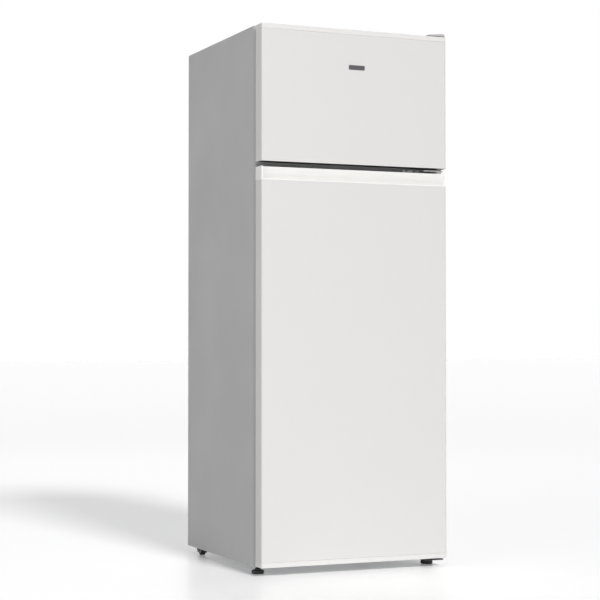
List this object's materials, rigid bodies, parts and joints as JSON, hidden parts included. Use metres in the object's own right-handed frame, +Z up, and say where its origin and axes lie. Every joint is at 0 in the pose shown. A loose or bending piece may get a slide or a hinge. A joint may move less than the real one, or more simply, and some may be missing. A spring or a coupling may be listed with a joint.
{
  "type": "top freezer refrigerator",
  "caption": "Upright refrigerator with a freezer door above a taller fresh food door, both hung on the right, and a recessed grip in the lower door's top edge.",
  "frame": {"origin": "on the floor, under the middle of the overall box", "axes": "+X to the right of someone facing the doors, +Y to the rear, +Z up"},
  "size_m": [0.54, 0.565, 1.439],
  "materials": {
    "door_sheet": "white powder paint on steel sheet, satin",
    "cabinet_sheet": "white paint on steel sheet, satin with a fine grain",
    "white_plastic": "moulded ABS, satin white",
    "grip_plastic": "moulded ABS, polished white",
    "liner_plastic": "vacuum-formed ABS or HIPS liner, glossy white",
    "clear_plastic": "clear moulded polystyrene",
    "frosted_plastic": "frosted lamp diffuser",
    "shelf_glass": "clear toughened shelf glass",
    "bulb_glass": "lamp glass",
    "grey_plastic": "moulded plastic, light grey",
    "badge_plastic": "plain dark grey plate without lettering",
    "black_plastic": "moulded plastic, black",
    "gasket_vinyl": "soft vinyl door seal, light grey",
    "insulation_foam": "rigid insulation foam, pale yellow",
    "galvanised_sheet": "galvanised steel sheet",
    "hinge_steel": "zinc-plated steel",
    "black_steel": "steel, painted black",
    "copper_tube": "drawn copper tube",
    "aluminium_plate": "roll-bonded aluminium plate"
  },
  "bodies": {
    "cabinet": {"side_panel_left": "cabinet_sheet", "side_panel_right": "cabinet_sheet", "top_panel": "cabinet_sheet", "back_panel": "galvanised_sheet", "front_base_rail": "galvanised_sheet", "bottom_plate": "galvanised_sheet", "compressor_base": "black_steel", "mullion_cover": "cabinet_sheet", "cabinet_foam": "insulation_foam", "freezer_liner": "liner_plastic", "fridge_liner": "liner_plastic", "freezer_evaporator": "aluminium_plate", "fridge_evaporator": "aluminium_plate", "compressor": "black_steel", "compressor_relay_cover": "black_plastic", "drip_tray": "black_plastic", "drain_tube": "grey_plastic", "condenser_coil": "black_steel", "discharge_tube": "copper_tube", "suction_tube": "copper_tube", "filter_drier": "copper_tube", "fridge_shelf_upper_glass": "shelf_glass", "fridge_shelf_upper_trim": "white_plastic", "fridge_shelf_middle_glass": "shelf_glass", "fridge_shelf_middle_trim": "white_plastic", "freezer_shelf_glass": "shelf_glass", "freezer_shelf_trim": "white_plastic", "crisper_cover_glass": "shelf_glass", "crisper_cover_trim": "white_plastic", "control_housing": "white_plastic", "lamp_cover": "frosted_plastic", "lamp_bulb": "bulb_glass", "top_hinge": "hinge_steel", "top_hinge_cover": "grey_plastic", "middle_hinge": "hinge_steel", "bottom_hinge": "black_steel"},
    "freezer_door": {"freezer_door_foam": "insulation_foam", "freezer_door_liner": "liner_plastic", "freezer_door_panel": "door_sheet", "freezer_door_top_cap": "white_plastic", "freezer_door_bottom_cap": "black_plastic", "freezer_door_gasket": "gasket_vinyl", "freezer_door_bin_lower": "clear_plastic", "freezer_door_bin_upper": "clear_plastic", "badge": "badge_plastic"},
    "fridge_door": {"fridge_door_foam": "insulation_foam", "fridge_door_liner": "liner_plastic", "fridge_door_panel": "door_sheet", "fridge_door_bottom_cap": "white_plastic", "fridge_door_handle_cap": "grip_plastic", "fridge_door_gasket": "gasket_vinyl", "fridge_door_bin_lower": "clear_plastic", "fridge_door_bin_middle": "clear_plastic", "fridge_door_bin_upper": "clear_plastic"},
    "crisper_drawer": {"crisper_drawer": "clear_plastic"},
    "thermostat_knob": {"thermostat_knob": "grey_plastic"},
    "front_left_foot": {"front_left_foot": "black_plastic"},
    "front_right_foot": {"front_right_foot": "black_plastic"},
    "rear_roller_left": {"rear_roller_left": "black_plastic"},
    "rear_roller_right": {"rear_roller_right": "black_plastic"}
  },
  "joints": [
    {"name": "freezer_door_hinge", "type": "hinge", "parent": "cabinet", "child": "freezer_door", "pos_m": [0.254, -0.2612, 1.2505], "axis": [0, 0, 1], "range_deg": [0, 130]},
    {"name": "fridge_door_hinge", "type": "hinge", "parent": "cabinet", "child": "fridge_door", "pos_m": [0.254, -0.2612, 0.5415], "axis": [0, 0, 1], "range_deg": [0, 130]},
    {"name": "crisper_drawer_slide", "type": "slide", "parent": "cabinet", "child": "crisper_drawer", "axis": [0, -1, 0], "range_m": [0, 0.15]},
    {"name": "thermostat_knob_turn", "type": "hinge", "parent": "cabinet", "child": "thermostat_knob", "pos_m": [-0.052, -0.0382, 0.981], "axis": [0, 0, -1], "range_deg": [0, 270]},
    {"name": "front_left_foot_travel", "type": "slide", "parent": "cabinet", "child": "front_left_foot", "axis": [0, 0, -1], "range_m": [0, 0.012]},
    {"name": "front_right_foot_travel", "type": "slide", "parent": "cabinet", "child": "front_right_foot", "axis": [0, 0, -1], "range_m": [0, 0.012]},
    {"name": "rear_roller_left_spin", "type": "hinge", "parent": "cabinet", "child": "rear_roller_left", "pos_m": [-0.2515, 0.2125, 0.014], "axis": [1, 0, 0], "continuous": true},
    {"name": "rear_roller_right_spin", "type": "hinge", "parent": "cabinet", "child": "rear_roller_right", "pos_m": [0.2515, 0.2125, 0.014], "axis": [1, 0, 0], "continuous": true}
  ],
  "couplings": [
    {"joint": "crisper_drawer_slide", "follows": "fridge_door_hinge", "m_per_rad": 0.0661}
  ]
}
